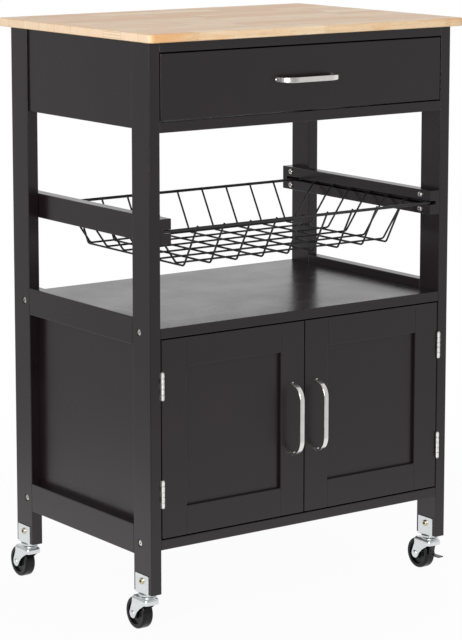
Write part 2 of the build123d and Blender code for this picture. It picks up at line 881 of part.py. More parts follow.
for side_name, side in sides.items():
    handle_plane = door_handle_plane(side)
    with BuildPart() as door_frame:
        for stile in ((door_free_edge, door_opening_x[0]), (door_opening_x[1], door_hinge_edge)):
            slab(sided(side, *stile), door_y, door_z)
        fillet(door_frame.edges(), edge_round)
        slab(
            sided(side, *grown(door_opening_x, door_groove_depth)),
            grown(door_panel_y, fit_clearance),
            grown(door_z, overrun),
            Mode.SUBTRACT,
        )
        cut_handle_holes(handle_plane, door_thickness)
        for rail, tongue in (
            ((door_z[0], door_opening_z[0]), (door_z[0], door_opening_z[0] - door_groove_depth)),
            ((door_opening_z[1], door_z[1]), (door_opening_z[1] + door_groove_depth, door_z[1])),
        ):
            slab(sided(side, *grown(door_opening_x, -fit_clearance)), door_y, rail)
            fillet(door_frame.edges(Select.LAST), edge_round)
            slab(
                sided(side, *grown(door_opening_x, door_panel_tongue)),
                door_panel_y,
                grown(tongue, -edge_round),
            )
        slab(
            sided(side, *door_opening_x),
            grown(door_panel_y, fit_clearance),
            grown(door_opening_z, door_groove_depth),
            Mode.SUBTRACT,
        )
    write_piece(door_frame, f"{side_name}_door_frame")

    with BuildPart() as door_panel:
        slab(
            sided(side, *grown(door_opening_x, door_panel_tongue)),
            door_panel_y,
            grown(door_opening_z, door_panel_tongue),
        )
    write_piece(door_panel, f"{side_name}_door_panel")

    write_handle(handle_plane, f"{side_name}_door_handle")
    write_handle_screws(handle_plane, door_thickness, f"{side_name}_door_handle_screws")

# Hinges: two leaves in the gap beside each door, rolled round a pin in front of it
hinge_axis_x = inner_half - door_side_gap / 2
hinge_axis_y = front - hinge_standoff - hinge_knuckle_radius
hinge_lows = (door_z[0] + hinge_end_distance, door_z[1] - hinge_end_distance - hinge_height)
hinge_pitch = (hinge_height + hinge_knuckle_gap) / hinge_knuckle_count


def hinge_leaf(side, low, plate_x, first_knuckle):
    """One leaf: a plate in the gap, and every second knuckle from the first one."""
    x_span = sided(side, *plate_x)
    slab(x_span, (front, front + hinge_leaf_depth), (low, low + hinge_height))
    axis_spot = (side * hinge_axis_x, hinge_axis_y)
    knuckle_lows = [low + number * hinge_pitch for number in range(first_knuckle, hinge_knuckle_count, 2)]
    knuckle_height = hinge_pitch - hinge_knuckle_gap
    for knuckle_low in knuckle_lows:
        slab(x_span, (hinge_axis_y, front), (knuckle_low, knuckle_low + knuckle_height))
        rod((*axis_spot, knuckle_low), (0, 0, 1), knuckle_height, hinge_knuckle_radius)
    rod(
        (*axis_spot, low - overrun),
        (0, 0, 1),
        hinge_height + 2 * overrun,
        hinge_pin_radius + hinge_pin_play,
        Mode.SUBTRACT,
    )


with BuildPart() as hinge_frame_leaves:
    for side in sides.values():
        for low in hinge_lows:
            hinge_leaf(side, low, (inner_half - hinge_leaf_thickness, inner_half), 0)
write_piece(hinge_frame_leaves, "hinge_frame_leaves")

for side_name, side in sides.items():
    with BuildPart() as door_hinge_leaves:
        for low in hinge_lows:
            hinge_leaf(side, low, (door_hinge_edge, door_hinge_edge + hinge_leaf_thickness), 1)
    write_piece(door_hinge_leaves, f"{side_name}_door_hinge_leaves")

with BuildPart() as hinge_pins:
    for side in sides.values():
        for low in hinge_lows:
            axis_spot = (side * hinge_axis_x, hinge_axis_y)
            head_low = low - fit_clearance - hinge_pin_head_height
            head_high = low + hinge_height + fit_clearance
            rod((*axis_spot, head_low), (0, 0, 1), head_high - head_low, hinge_pin_radius)
            for head in (head_low, head_high):
                rod((*axis_spot, head), (0, 0, 1), hinge_pin_head_height, hinge_pin_head_radius)
write_piece(hinge_pins, "hinge_pins")

# Casters: a bracket round the foot of each leg, a fork that swivels under it, and a wheel
casters = {
    f"{row}_{side_name}": (side, (side * leg_middle, start + leg_depth / 2))
    for row, start in leg_starts.items()
    for side_name, side in sides.items()
}
bracket_half = leg_thickness / 2 + bracket_sheet

with BuildPart() as caster_brackets:
    for side, (x, y) in casters.values():
        with BuildSketch(Plane.YZ.offset(x - bracket_half)):
            with Locations((y, (bracket_web_low + leg_low + bracket_plate_height) / 2)):
                Rectangle(bracket_width, bracket_plate_height + bracket_sheet)
            fillet(vertices().group_by(Axis.Y)[-1], bracket_plate_round)
        extrude(amount=2 * bracket_half)
    fillet(caster_brackets.edges().filter_by(Axis.Y).group_by(Axis.Z)[0], bracket_sheet)
    for side, (x, y) in casters.values():
        slab(
            (x - leg_thickness / 2, x + leg_thickness / 2),
            (y - bracket_width, y + bracket_width),
            (leg_low, leg_low + bracket_plate_height + overrun),
            Mode.SUBTRACT,
        )
        rod((x, y, bracket_cap_low), (0, 0, 1), swivel_cap_height, swivel_cap_radius)
        bore((x, y, bracket_cap_low), (0, 0, 1), leg_low - bracket_cap_low + overrun, kingpin_hole)
        screw_path = (x, y, bracket_screw_height)
        bar_across(screw_path, (1, 0, 0), 2 * bracket_half + overrun, bracket_screw_hole, Mode.SUBTRACT)
    for side, (x, y) in casters.values():
        pin_low = fork_plate_low - swivel_gap - kingpin_head_height
        rod((x, y, pin_low), (0, 0, 1), kingpin_head_height, kingpin_head_radius)
        rod((x, y, pin_low), (0, 0, 1), leg_low - pin_low - fit_clearance, kingpin_radius)
write_piece(caster_brackets, "caster_brackets")

with BuildPart() as caster_screws:
    for side, (x, y) in casters.values():
        for direction in (-1, 1):
            wood_screw(
                (x - direction * bracket_half, y, bracket_screw_height),
                (direction, 0, 0),
                bracket_sheet + bracket_screw_bite,
                bracket_screw_head_radius,
                bracket_screw_radius,
                bracket_screw_head_height,
            )
write_piece(caster_screws, "caster_screws")

fork_half = fork_inner_width / 2
fork_outer_half = fork_half + fork_sheet


def round_wheel(standoff, angle):
    """A place beside the wheel in the plane of its rim, as distances behind and above the wheel's middle."""
    radius = wheel_radius + standoff
    return radius * cos(radians(angle)), radius * sin(radians(angle))


brake_pivot = round_wheel(brake_pivot_standoff, brake_pivot_angle)
brake_shoe = round_wheel(brake_shoe_standoff, brake_shoe_angle)
brake_heel = round_wheel(brake_heel_standoff, brake_heel_angle)
brake_tab = (-caster_trail - brake_tab_reach, brake_heel[1] + brake_tab_rise)

for corner, (side, (x, y)) in casters.items():
    axle = (x, y + caster_trail, wheel_radius)
    pivot = (x, axle[1] + brake_pivot[0], axle[2] + brake_pivot[1])
    braked = side > 0
    fork_middle = y + (fork_top_back - fork_top_front) / 2
    with BuildPart() as fork:
        with BuildSketch(Plane.XY.offset(fork_plate_low)):
            with Locations((x, fork_middle)):
                RectangleRounded(2 * fork_outer_half, fork_top_front + fork_top_back, fork_corner_round)
        extrude(amount=fork_sheet)
        for cheek in (-fork_outer_half, fork_half):
            with BuildSketch(Plane.YZ.offset(x + cheek)):
                with Locations((fork_middle, fork_plate_high - fork_cheek_height / 2)):
                    Rectangle(fork_top_front + fork_top_back, fork_cheek_height)
                with Locations((axle[1], axle[2])):
                    Circle(fork_axle_radius)
                make_hull()
            extrude(amount=fork_sheet)
        # The cheeks' front edges sweep back to the axle
        sweep_middle = (x, y - fork_sweep_ahead, wheel_radius - fork_sweep_below)
        bar_across(sweep_middle, (1, 0, 0), 2 * fork_outer_half + overrun, fork_sweep_radius, Mode.SUBTRACT)
        rod((x, y, fork_plate_high), (0, 0, 1), fork_race_height, fork_race_radius)
        bore((x, y, fork_plate_low), (0, 0, 1), fork_race_high - fork_plate_low + overrun, swivel_hole)
        bar_across(axle, (1, 0, 0), 2 * fork_outer_half + overrun, axle_hole, Mode.SUBTRACT)
        if braked:
            bar_across(pivot, (1, 0, 0), 2 * fork_outer_half + overrun, brake_pin_hole, Mode.SUBTRACT)
            bar_across(pivot, (1, 0, 0), 2 * fork_outer_half, brake_pin_radius)
        head_half = fork_outer_half + fit_clearance + axle_head_height
        bar_across(axle, (1, 0, 0), 2 * head_half, axle_radius)
        for direction in (-1, 1):
            face = (x + direction * head_half, axle[1], axle[2])
            rod(face, (-direction, 0, 0), axle_head_height, axle_head_radius)
    write_piece(fork, f"{corner}_caster_fork")

    with BuildPart() as wheel:
        with BuildSketch(Plane(origin=axle, x_dir=(1, 0, 0), z_dir=(0, -1, 0))):
            with BuildLine():
                tread_low = wheel_radius - wheel_tread_height
                half_outline = [
                    (wheel_hub_width / 2, axle_hole),
                    (wheel_hub_width / 2, wheel_hub_radius),
                    (wheel_web_width / 2, wheel_hub_radius),
                    (wheel_web_width / 2, tread_low),
                    (wheel_tread_width / 2, tread_low),
                    (wheel_tread_width / 2, wheel_radius),
                ]
                other_half = [(-wide, out) for wide, out in reversed(half_outline)]
                Polyline(*half_outline, *other_half, close=True)
            make_face()
            fillet(vertices().group_by(Axis.Y)[-1], wheel_tread_round)
        revolve(axis=Axis(axle, (1, 0, 0)))
    write_piece(wheel, f"{corner}_wheel")

    if braked:
        with BuildPart() as brake_lever:
            bent_band(
                Plane(origin=axle, x_dir=(0, 1, 0), z_dir=(1, 0, 0)),
                [brake_pivot, brake_shoe, brake_heel, brake_tab],
                brake_bend_radius,
                brake_width,
                brake_sheet,
                brake_edge_round,
            )
            bar_across(pivot, (1, 0, 0), brake_width, brake_boss_radius)
            bar_across(pivot, (1, 0, 0), brake_width + overrun, brake_pin_hole, Mode.SUBTRACT)
        write_piece(brake_lever, f"{corner}_brake_lever")
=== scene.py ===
import json
import math

import bmesh
import bpy
from bpy.props import FloatProperty, FloatVectorProperty, PointerProperty
from mathutils import Matrix, Vector

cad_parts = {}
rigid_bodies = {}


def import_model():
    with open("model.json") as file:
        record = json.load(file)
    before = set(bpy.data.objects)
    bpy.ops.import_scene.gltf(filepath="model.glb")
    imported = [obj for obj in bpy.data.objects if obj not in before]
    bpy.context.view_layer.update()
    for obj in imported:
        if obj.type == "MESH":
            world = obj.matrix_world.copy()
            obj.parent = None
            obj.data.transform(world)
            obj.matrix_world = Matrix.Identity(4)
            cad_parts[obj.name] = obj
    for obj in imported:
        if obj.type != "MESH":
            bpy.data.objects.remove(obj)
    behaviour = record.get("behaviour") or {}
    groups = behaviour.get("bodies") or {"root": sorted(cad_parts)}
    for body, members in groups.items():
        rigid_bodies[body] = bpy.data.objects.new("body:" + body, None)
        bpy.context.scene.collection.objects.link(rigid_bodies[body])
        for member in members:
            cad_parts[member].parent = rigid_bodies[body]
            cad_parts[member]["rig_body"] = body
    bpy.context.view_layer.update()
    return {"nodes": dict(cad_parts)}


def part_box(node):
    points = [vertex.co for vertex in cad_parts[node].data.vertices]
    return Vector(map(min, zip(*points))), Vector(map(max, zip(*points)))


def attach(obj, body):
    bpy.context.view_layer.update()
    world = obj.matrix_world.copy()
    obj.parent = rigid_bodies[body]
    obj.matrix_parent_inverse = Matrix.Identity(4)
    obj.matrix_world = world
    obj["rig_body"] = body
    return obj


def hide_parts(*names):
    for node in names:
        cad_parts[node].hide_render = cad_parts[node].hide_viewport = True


bl_info = {
    "name": "Kitchen Cart",
    "version": (1, 0, 0),
    "blender": (4, 5, 0),
    "location": "3D View > Sidebar > Cart",
    "description": "Dresses the packed kitchen cart with its finished pieces, materials and stage",
    "category": "Object",
}

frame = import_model()
MM = 0.001
TOUCH = 0.01 * MM
MERGE = 0.001 * MM
SHARP = math.radians(38)
CORNER = math.radians(60)
RIGHT, UP = (1, 0, 0), (0, 0, 1)
OUT_FRONT = Vector((0, -1, 0))


def linear(hex_colour):
    """Linear RGBA of an sRGB hex colour."""
    parts = [int(hex_colour[place:place + 2], 16) / 255 for place in (1, 3, 5)]
    return (*(p / 12.92 if p <= 0.04045 else ((p + 0.055) / 1.055) ** 2.4 for p in parts), 1.0)


def colour_property(name, description, hex_colour):
    """A colour that a user can change, given as an sRGB hex value."""
    return FloatVectorProperty(name=name, description=description, default=linear(hex_colour), size=4,
                               min=0, max=1, subtype="COLOR")


def length_property(name, description, millimetres):
    """A length that a user can change, given in millimetres."""
    return FloatProperty(name=name, description=description, default=millimetres * MM, min=0,
                         unit="LENGTH")


class CartSizes(bpy.types.PropertyGroup):
    """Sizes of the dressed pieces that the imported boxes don't give."""

    worktop_corner: length_property("Worktop corner", "Radius of the worktop's upright corners", 10)
    worktop_edge: length_property("Worktop edge", "Rounding of the worktop's edges", 2)
    stave_width: length_property("Stave width", "Width of the worktop's glued staves", 44)
    block_length: length_property("Block length", "Length of the blocks that are joined into a stave", 232)
    wire_radius: length_property("Wire radius", "Radius of the basket's wires", 1.5)
    wire_bend: length_property("Wire bend", "Radius of the bends in the basket's wires", 7)
    rim_bend: length_property("Rim bend", "Radius of the basket rim's corners", 10)
    band_thickness: length_property("Handle thickness", "Thickness of the handles' flat band", 3)
    band_stub: length_property("Handle stub", "Straight length at a handle's foot", 0.5)
    knuckle_radius: length_property("Knuckle radius", "Radius of the hinges' knuckles", 2.7)


class CartColours(bpy.types.PropertyGroup):
    """Colours of the cart's finishes."""

    wood_pale: colour_property("Pale wood", "Palest blocks of the worktop", "#FDE2BC")
    wood_deep: colour_property("Deep wood", "Deepest blocks of the worktop", "#E8B781")
    paint: colour_property("Paint", "Black satin paint on the boards", "#180E12")
    wire: colour_property("Wire coating", "Black coating of the basket's wires", "#1C1B1C")
    nickel: colour_property("Nickel", "Polished nickel of the handles", "#EBE7E4")
    zinc: colour_property("Zinc", "Blue zinc of the casters", "#E4E7E8")
    wheel: colour_property("Wheel", "Black moulded wheels", "#0E0D0E")


def fill(tree, node, inputs):
    """Sets a node's inputs: each to a value, or linked to a node or a socket."""
    for key, value in inputs.items():
        if isinstance(value, bpy.types.Node):
            value = value.outputs[0]
        if isinstance(value, bpy.types.NodeSocket):
            tree.links.new(value, node.inputs[key])
        else:
            node.inputs[key].default_value = value


def add(tree, kind, inputs=None, **settings):
    """Adds a shader node with its settings and inputs."""
    node = tree.nodes.new(kind)
    for name, value in settings.items():
        setattr(node, name, value)
    fill(tree, node, inputs or {})
    return node


def calc(tree, operation, *values):
    """Arithmetic on values, nodes or sockets."""
    return add(tree, "ShaderNodeMath", dict(enumerate(values)), operation=operation)


def scaled(tree, vector, amount):
    """A vector or a colour times an amount."""
    return add(tree, "ShaderNodeVectorMath", {0: vector, 3: amount}, operation="SCALE")


def ranged(tree, value, start, end, low=0.0, high=1.0, **settings):
    """A value's range from start to end, brought to a range from low to high."""
    limits = {"From Min": start, "From Max": end, "To Min": low, "To Max": high}
    return add(tree, "ShaderNodeMapRange", {"Value": value, **limits}, **settings)


def blended(tree, share, first, second):
    """The colour between two colours; gives its socket."""
    return add(tree, "ShaderNodeMix", {0: share, 6: first, 7: second}, data_type="RGBA").outputs[2]


def mapped(tree, place, size):
    """Coordinates that count a pattern's sizes along each axis."""
    return add(tree, "ShaderNodeMapping", {"Vector": place, "Scale": tuple(1 / length for length in size)})


def noise(tree, place, size, detail, roughness=0.5, distortion=0.0):
    """Noise of one size, or of a size along each axis."""
    if isinstance(size, tuple):
        place, size = mapped(tree, place, size), 1.0
    return add(tree, "ShaderNodeTexNoise", {"Vector": place, "Scale": 1 / size, "Detail": detail,
                                            "Roughness": roughness, "Distortion": distortion})


def bumped(tree, height, strength, depth, **base):
    """A bump of a depth in millimetres, on the base normal where one is given."""
    inputs = {"Height": height, "Strength": strength, "Distance": depth * MM}
    return add(tree, "ShaderNodeBump", {**inputs, **base})


def new_material(name):
    """An empty material with its tree, main shader and Object coordinates in millimetres."""
    material = bpy.data.materials.get(name) or bpy.data.materials.new(name)
    material.use_nodes = True
    tree = material.node_tree
    tree.nodes.clear()
    shader = add(tree, "ShaderNodeBsdfPrincipled")
    add(tree, "ShaderNodeOutputMaterial", {"Surface": shader})
    place = add(tree, "ShaderNodeTexCoord")
    return material, tree, shader, scaled(tree, place.outputs["Object"], 1 / MM)


def finger_jointed_rubberwood(sizes, colours):
    """Glued staves of short blocks, clear satin lacquer: each block has its own tone, fine grain runs
    along it, and the toothed joints show as thin dark zigzags on the edges."""
    material, tree, shader, place = new_material("finger_jointed_rubberwood")
    stave_width, block_length = sizes.stave_width / MM, sizes.block_length / MM
    axes = add(tree, "ShaderNodeSeparateXYZ", {0: place})
    stave = calc(tree, "FLOOR", calc(tree, "DIVIDE", axes.outputs["Y"], stave_width))
    stave_random = add(tree, "ShaderNodeTexWhiteNoise", {"W": stave}, noise_dimensions="1D")
    # Teeth cut across the thickness, with the joints of each stave at places of its own
    tooth_pitch, tooth_length, stagger = 4.0, 11.0, 1640.0
    teeth = calc(tree, "PINGPONG", axes.outputs["Z"], tooth_pitch / 2)
    tooth_reach = calc(tree, "MULTIPLY_ADD", teeth, tooth_length / (tooth_pitch / 2), axes.outputs["X"])
    shifted = calc(tree, "MULTIPLY_ADD", stave_random, stagger, tooth_reach)
    block = calc(tree, "FLOOR", calc(tree, "DIVIDE", shifted, block_length))
    pair = add(tree, "ShaderNodeCombineXYZ", {0: stave, 1: block})
    tone = add(tree, "ShaderNodeTexWhiteNoise", {"Vector": pair}, noise_dimensions="2D")
    # Grain lines about 2.5 mm apart and 140 mm long, wide bands and pores, begun afresh in each block
    begun = scaled(tree, tone.outputs["Color"], 400.0)
    offset = add(tree, "ShaderNodeVectorMath", {0: place, 1: begun}, operation="ADD")
    grain = noise(tree, offset, (140, 2.5, 2.5), 5.0, 0.62, 0.4)
    wide = noise(tree, offset, (300, 14, 14), 2.0)
    pores = noise(tree, offset, (9, 0.7, 0.7), 1.0)
    depth = calc(tree, "MULTIPLY", tone, 1.3)
    for pattern in (grain, wide):
        depth = calc(tree, "MULTIPLY_ADD", pattern, 0.7, depth)
    wood = blended(tree, ranged(tree, depth, 0.75, 2.0), colours.wood_pale, colours.wood_deep)
    # Brown streaks about 12 mm wide and 200 mm long, and warm patches, in some of the blocks
    streaks = noise(tree, offset, (200, 12, 12), 3.0, distortion=0.8)
    wood = blended(tree, ranged(tree, streaks, 0.46, 0.64, high=0.24), wood, linear("#C69A72"))
    patches = noise(tree, offset, (60, 20, 20), 2.0)
    wood = blended(tree, ranged(tree, patches, 0.46, 0.66, high=0.55), wood, linear("#ECAC68"))
    # Ends of the staves: painted highlight, their end faces painted paler to stand in for the bright light
    # that falls on them, with growth rings about 4.5 mm apart
    faces = add(tree, "ShaderNodeNewGeometry")
    normal = add(tree, "ShaderNodeSeparateXYZ", {0: faces.outputs["Normal"]})
    on_end = ranged(tree, calc(tree, "ABSOLUTE", normal.outputs["X"]), 0.6, 0.9, high=0.6)
    # Painted highlight: the end faces are blended towards near white, so they look lit
    wood = blended(tree, on_end, wood, linear("#FFEED4"))
    bands = {"Vector": offset, "Scale": 0.07, "Distortion": 2.5, "Detail": 2.0}
    rings = add(tree, "ShaderNodeTexWave", bands, wave_type="BANDS", bands_direction="Y")
    ring_share = calc(tree, "MULTIPLY", calc(tree, "MULTIPLY", rings, on_end), 0.3)
    wood = blended(tree, ring_share, wood, linear("#D69A5C"))
    wood = blended(tree, ranged(tree, pores, 0.6, 0.74, high=0.36), wood, linear("#A9794A"))
    # Glue lines: 0.5 mm at the toothed joints and 0.35 mm between the staves
    joint = calc(tree, "PINGPONG", shifted, block_length / 2)
    joint_line = ranged(tree, joint, 0.5, 1.1, 0.55, 0.0)
    seam = calc(tree, "PINGPONG", axes.outputs["Y"], stave_width / 2)
    seam_line = ranged(tree, seam, 0.2, 0.55, 0.4, 0.0)
    lines = calc(tree, "MAXIMUM", joint_line, seam_line)
    relief = calc(tree, "MULTIPLY_ADD", pores, -0.6, grain)
    fill(tree, shader, {
        "Base Color": blended(tree, lines, wood, linear("#8E6238")),
        "Roughness": ranged(tree, grain, 0.0, 1.0, 0.3, 0.42),
        "Normal": bumped(tree, relief, 0.12, 0.1),
        "IOR": 1.5,
    })
    return material


def satin_black_paint(colours, name, grain_size, sheen=(0.2, 0.3), rails=None):
    """Black satin paint rolled on solid wood: near black with a soft sheen, a faint orange peel, and the
    wood's grain telegraphing through as shallow lines. sheen is the range of its roughness. rails gives a
    door's middle and half width, in millimetres, where the grain of its rails turns along X."""
    material, tree, shader, place = new_material(name)
    way = mapped(tree, place, grain_size)
    if rails:
        axes = add(tree, "ShaderNodeSeparateXYZ", {0: place})
        on_rail = calc(tree, "COMPARE", calc(tree, "ABSOLUTE", axes.outputs["X"]), *rails)
        level = mapped(tree, place, grain_size[::-1])
        way = add(tree, "ShaderNodeMix", {0: on_rail, 4: way, 5: level}, data_type="VECTOR").outputs[1]
    grain = noise(tree, way, 1.0, 4.0, 0.6, 0.3)
    # Orange peel of about 1.6 mm from the roller, and slow drifts in the film over about 90 mm
    peel = noise(tree, place, 1.6, 2.0)
    drift = noise(tree, place, 90, 2.0)
    tint = calc(tree, "MULTIPLY_ADD", grain, 0.5, drift)
    shade = ranged(tree, tint, 0.45, 1.05, 0.84, 1.16)
    relief = calc(tree, "MULTIPLY_ADD", peel, 0.35, grain)
    # The boards' sanded edges, 1.2 mm round, catch the light
    sanded = add(tree, "ShaderNodeBevel", {"Radius": 1.2 * MM}, samples=6)
    fill(tree, shader, {
        "Base Color": scaled(tree, tuple(colours.paint[:3]), shade),
        "Roughness": ranged(tree, tint, 0.45, 1.05, *sheen),
        "Normal": bumped(tree, relief, 0.12, 0.1, Normal=sanded),
        "IOR": 1.5,
    })
    return material


def raw_beech():
    """Turned beech dowels: pale pinkish wood with short dark flecks along the grain."""
    material, tree, shader, place = new_material("raw_beech")
    amount = ranged(tree, noise(tree, place, 1.8, 3.0), 0.4, 0.7)
    colour = blended(tree, amount, linear("#D8B48A"), linear("#A87A50"))
    fill(tree, shader, {"Base Color": colour, "Roughness": amount})
    return material


def plated_steel(name, colour, scratch_size, smooth, dull):
    """Plated steel: bright metal whose fine scratches or crystal bloom vary the gloss and the tone a
    little. scratch_size is the length of the pattern along each axis in millimetres."""
    material, tree, shader, place = new_material(name)
    scratches = noise(tree, place, scratch_size, 4.0, 0.65)
    bloom = noise(tree, place, 14, 2.0)
    mixed = calc(tree, "MULTIPLY_ADD", bloom, 0.6, scratches)
    shade = ranged(tree, mixed, 0.5, 1.1, 0.86, 1.06)
    fill(tree, shader, {
        "Base Color": scaled(tree, tuple(colour[:3]), shade),
        "Roughness": ranged(tree, mixed, 0.5, 1.1, smooth, dull),
        "Normal": bumped(tree, scratches, 0.04, 0.03),
        "Metallic": 1.0,
    })
    return material


def bright_zinc():
    """The bright zinc of the bolts and of the screws in the wood."""
    return plated_steel("bright_zinc_fastener", linear("#F2EEE8"), (2, 2, 2), 0.2, 0.34)


def black_coating(name, colour, speckle, smooth, dull, shine=0.5):
    """A black skin, powder coated or moulded: near black, with a fine texture that breaks up its gloss.
    speckle is the texture's size in millimetres, and shine the strength of its mirror reflection."""
    material, tree, shader, place = new_material(name)
    fine = noise(tree, place, speckle, 3.0)
    slow = noise(tree, place, 22, 2.0)
    mixed = calc(tree, "MULTIPLY_ADD", slow, 0.7, fine)
    shade = ranged(tree, mixed, 0.55, 1.15, 0.8, 1.25)
    fill(tree, shader, {
        "Base Color": scaled(tree, tuple(colour[:3]), shade),
        "Roughness": ranged(tree, mixed, 0.55, 1.15, smooth, dull),
        "Normal": bumped(tree, fine, 0.2, 0.03),
        "IOR": 1.48,
        "Specular IOR Level": shine,
    })
    return material


def in_mm(*points):
    """Points given in millimetres."""
    return [tuple(value * MM for value in point) for point in points]


def mirrored(half):
    """A whole outline of (out, along) points from the half that begins nearest the middle."""
    return [(out, -along) for out, along in reversed(half)] + half


def middle_of(box):
    """The middle between a box's two corners."""
    return (box[0] + box[1]) / 2


def box_between(bm, low, high):
    """A box between two corners."""
    size = Vector(high) - Vector(low)
    middle = middle_of((Vector(low), Vector(high)))
    bmesh.ops.create_cube(bm, size=1, matrix=Matrix.Translation(middle) @ Matrix.Diagonal((*size, 1)))


def verts_in(geom):
    """The vertices in an operator's result."""
    return [item for item in geom if isinstance(item, bmesh.types.BMVert)]


def edges_of(verts):
    """The edges that run between these vertices."""
    chosen = set(verts)
    return list({edge for vert in verts for edge in vert.link_edges if chosen.issuperset(edge.verts)})


def lies_at(edge, axis, value):
    """Whether an edge lies at a coordinate along an axis."""
    return all(abs(vert.co[axis] - value) < TOUCH for vert in edge.verts)


def spans(edge, axis):
    """The length of an edge along an axis."""
    return abs(edge.verts[0].co[axis] - edge.verts[1].co[axis])


def round_edges(bm, edges, radius, segments):
    """Rounds edges with a bevel."""
    bmesh.ops.bevel(bm, geom=edges, offset=radius, offset_type="OFFSET", segments=segments, profile=0.5,
                    affect="EDGES", material=-1, clamp_overlap=True)


def facing(place, outwards):
    """The matrix that takes a shape built upright at the origin to a place, pointing outwards."""
    return Matrix.Translation(place) @ Vector(outwards).to_track_quat("Z", "Y").to_matrix().to_4x4()


def carried(bm, face, corners, bend, steps):
    """Carries a section's face along straight runs joined by round bends, and closes the far end."""
    edges = list(face.edges)
    for number in range(1, len(corners)):
        here = Vector(corners[number])
        before = (here - Vector(corners[number - 1])).normalized()
        verts = list({vert for edge in edges for vert in edge.verts})
        centre = sum((vert.co for vert in verts), Vector()) / len(verts)
        last = number == len(corners) - 1
        after = before if last else (Vector(corners[number + 1]) - here).normalized()
        turn = before.angle(after)
        stop = here - before * bend * math.tan(turn / 2)
        verts = verts_in(bmesh.ops.extrude_edge_only(bm, edges=edges)["geom"])
        bmesh.ops.translate(bm, verts=verts, vec=stop - centre)
        edges = edges_of(verts)
        if not last:
            axis = before.cross(after).normalized()
            spun = bmesh.ops.spin(bm, geom=verts + edges, cent=stop + axis.cross(before) * bend, axis=axis,
                                  angle=turn, steps=steps)
            edges = edges_of(verts_in(spun["geom_last"]))
    bmesh.ops.contextual_create(bm, geom=edges)


def round_wire(bm, corners, radius, bend, sides=14, steps=7):
    """A round wire along straight runs with bends."""
    run = Vector(corners[1]) - Vector(corners[0])
    made = bmesh.ops.create_circle(bm, cap_ends=True, segments=sides, radius=radius,
                                   matrix=facing(corners[0], run))
    carried(bm, made["verts"][0].link_faces[0], corners, bend, steps)


def flat_band(bm, corners, across, width, thickness, rounding, bend, steps):
    """A flat band along straight runs with bends; across is the direction of its width."""
    run = (Vector(corners[1]) - Vector(corners[0])).normalized()
    across = Vector(across).normalized()
    turn = Matrix((across, run.cross(across), run)).transposed().to_4x4()
    size = Matrix.Diagonal((width, thickness, 1, 1))
    made = bmesh.ops.create_grid(bm, x_segments=1, y_segments=1, size=0.5,
                                 matrix=Matrix.Translation(corners[0]) @ turn @ size)
    face = made["verts"][0].link_faces[0]
    if rounding:
        made = bmesh.ops.bevel(bm, geom=list(face.verts), offset=rounding, offset_type="OFFSET", segments=4,
                               profile=0.5, affect="VERTICES", material=-1)
        face = made["verts"][0].link_faces[0]
    carried(bm, face, corners, bend, steps)


def turned(bm, outline, place, axis, steps=48):
    """A lathe-turned shape: an outline of (out, along) points spun about an axis through a place."""
    turn = facing(place, axis)
    points = [bm.verts.new(turn @ Vector((out, 0, along))) for out, along in outline]
    edges = [bm.edges.new(pair) for pair in zip(points, points[1:])]
    bmesh.ops.spin(bm, geom=points + edges, cent=place, axis=axis, angle=2 * math.pi, steps=steps,
                   use_merge=True)


def fastener_head(bm, place, outwards, rings, recess, depth):
    """A fastener's head: a disc drawn up through rings of (radius, height), with a cross or hex recess."""
    turn = facing(place, outwards)
    made = bmesh.ops.create_circle(bm, cap_ends=True, segments=24, radius=rings[0][0],
                                   matrix=turn @ Matrix.Translation((0, 0, rings[0][1])))
    edges = edges_of(made["verts"])
    for (before, low), (radius, high) in zip(rings, rings[1:]):
        verts = verts_in(bmesh.ops.extrude_edge_only(bm, edges=edges)["geom"])
        bmesh.ops.scale(bm, vec=(radius / before, radius / before, 1), space=turn.inverted(), verts=verts)
        bmesh.ops.translate(bm, vec=Vector(outwards) * (high - low), verts=verts)
        edges = edges_of(verts)
    top = turn @ Matrix.Translation((0, 0, rings[-1][1]))
    if recess[0] == "cross":
        made = bmesh.ops.create_grid(bm, x_segments=3, y_segments=3, size=recess[1], matrix=top)
        corners = [vert for vert in made["verts"] if len(vert.link_faces) == 1]
        verts = [vert for vert in made["verts"] if vert not in corners]
        bmesh.ops.delete(bm, geom=corners, context="VERTS")
    else:
        made = bmesh.ops.create_circle(bm, cap_ends=True, segments=6, radius=recess[1], matrix=top)
        verts = made["verts"]
    floor = list({face for vert in verts for face in vert.link_faces})
    mouth = [edge for edge in edges_of(verts) if edge.is_boundary]
    bmesh.ops.bridge_loops(bm, edges=edges + mouth)
    sunk = verts_in(bmesh.ops.extrude_face_region(bm, geom=floor)["geom"])
    bmesh.ops.translate(bm, vec=Vector(outwards) * -depth, verts=sunk)
    bmesh.ops.delete(bm, geom=[face for face in floor if face.is_valid], context="FACES_ONLY")


def pan_head(bm, place, outwards, radius, height):
    """A pan-head screw's head with a cross recess."""
    profile = ((1, 0), (1, 0.4), (0.95, 0.66), (0.84, 0.87), (0.68, 1))
    rings = [(out * radius, up * height) for out, up in profile]
    fastener_head(bm, place, outwards, rings, ("cross", 0.5 * radius), 0.5 * height)


def finished_piece(bm, name, nodes, material):
    """Makes a built mesh an object that stands for its CAD nodes and rides with them."""
    bmesh.ops.remove_doubles(bm, verts=bm.verts, dist=MERGE)
    bmesh.ops.recalc_face_normals(bm, faces=bm.faces)
    mesh = bpy.data.meshes.new(name)
    bm.to_mesh(mesh)
    bm.free()
    mesh.materials.append(material)
    mesh.shade_smooth()
    mesh.set_sharp_from_angle(angle=SHARP)
    piece = bpy.data.objects.new(name, mesh)
    bpy.context.scene.collection.objects.link(piece)
    weighted = piece.modifiers.new("even_faces", "WEIGHTED_NORMAL")
    weighted.keep_sharp = True
    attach(piece, frame["nodes"][nodes[0]]["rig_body"])
    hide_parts(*nodes)


